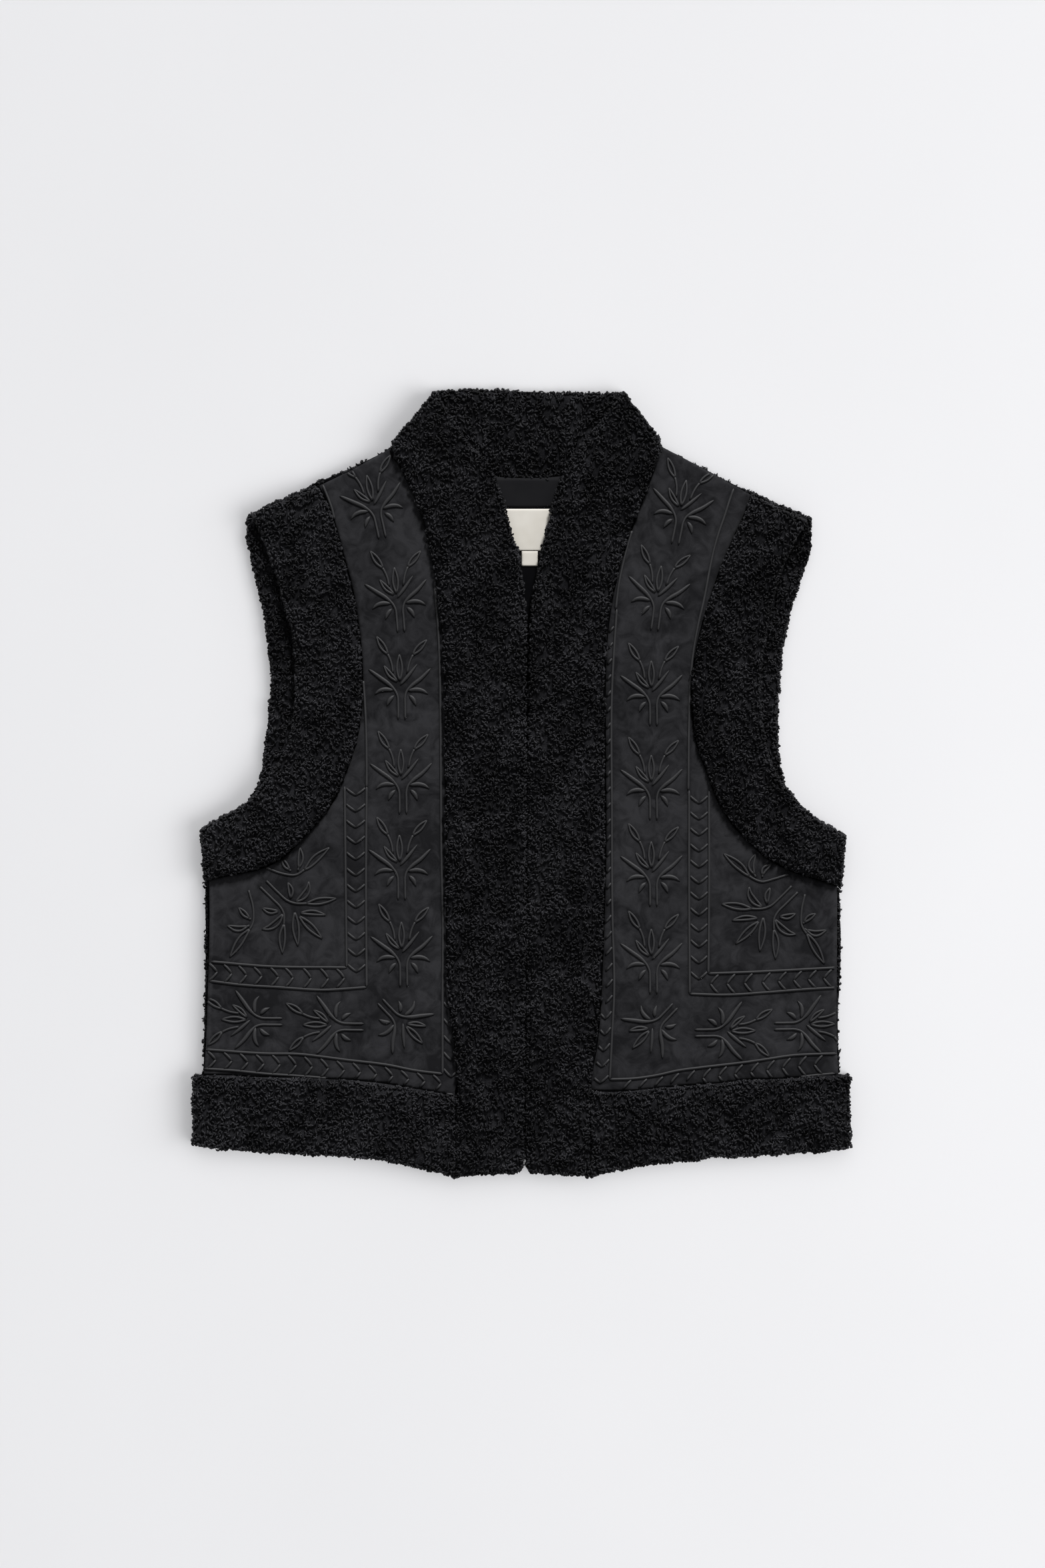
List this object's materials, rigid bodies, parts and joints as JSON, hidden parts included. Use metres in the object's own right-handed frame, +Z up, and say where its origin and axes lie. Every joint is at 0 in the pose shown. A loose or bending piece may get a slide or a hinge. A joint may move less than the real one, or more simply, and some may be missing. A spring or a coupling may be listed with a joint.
{
  "type": "vest",
  "caption": "Cropped open-front vest of suede with leaf embroidery, edged with wide curly pile bands and a stand collar, laid flat.",
  "frame": {"origin": "on the surface that the vest lies on, under the middle of its length and width", "axes": "+Y from the hem to the collar, +X to the right as seen from above, +Z up from the surface"},
  "size_m": [0.4938, 0.5924, 0.018],
  "materials": {
    "pile": "black curly pile cloth, matt with faint grey glints on the curls",
    "suede": "charcoal suede with a brushed, mottled nap and satin-stitch embroidery of its own colour",
    "lining": "black plain-woven lining",
    "facing": "smooth dark grey cloth",
    "woven": "cream woven ribbon, bare"
  },
  "bodies": {
    "root": {"back_body": "pile", "hem_band_back": "pile", "armhole_band_back_l": "pile", "armhole_band_back_r": "pile", "collar_back": "pile", "back_lining": "lining", "back_neck_facing": "facing", "neck_label": "woven", "size_tab": "woven", "front_panel_l": "suede", "front_panel_r": "suede", "front_band_l": "pile", "front_band_r": "pile", "armhole_band_front_l": "pile", "armhole_band_front_r": "pile", "hem_band_front_l": "pile", "hem_band_front_r": "pile"}
  },
  "joints": []
}
